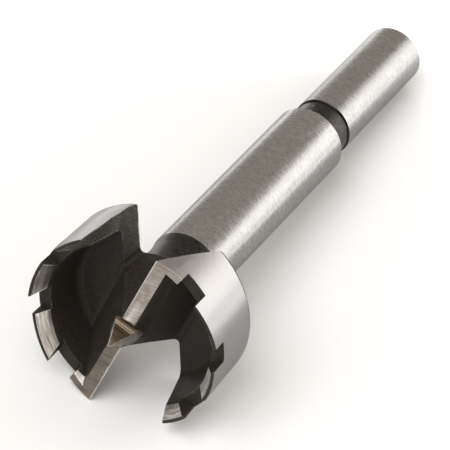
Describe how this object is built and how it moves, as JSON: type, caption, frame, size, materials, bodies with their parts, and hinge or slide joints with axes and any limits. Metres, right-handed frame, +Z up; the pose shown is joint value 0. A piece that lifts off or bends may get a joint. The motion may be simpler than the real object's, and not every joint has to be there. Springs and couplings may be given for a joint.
{
  "type": "forstner bit",
  "caption": "Saw-tooth forstner bit: a cupped head with two lips, toothed rim and centre point on a ground neck, with a turned groove and a plain round shank.",
  "frame": {"origin": "bottom centre of the bit's bounding box as it lies at rest on a flat surface", "axes": "+X along the bit towards its shank, seen from above, with the shank end about 6.7 degrees lower than the head; +Z up"},
  "size_m": [0.094, 0.032, 0.031],
  "materials": {
    "forged_steel": "black oxide forging, with neck, shank, rim and cutting edges ground bright"
  },
  "bodies": {
    "root": {"forstner_bit": "forged_steel"}
  },
  "joints": []
}
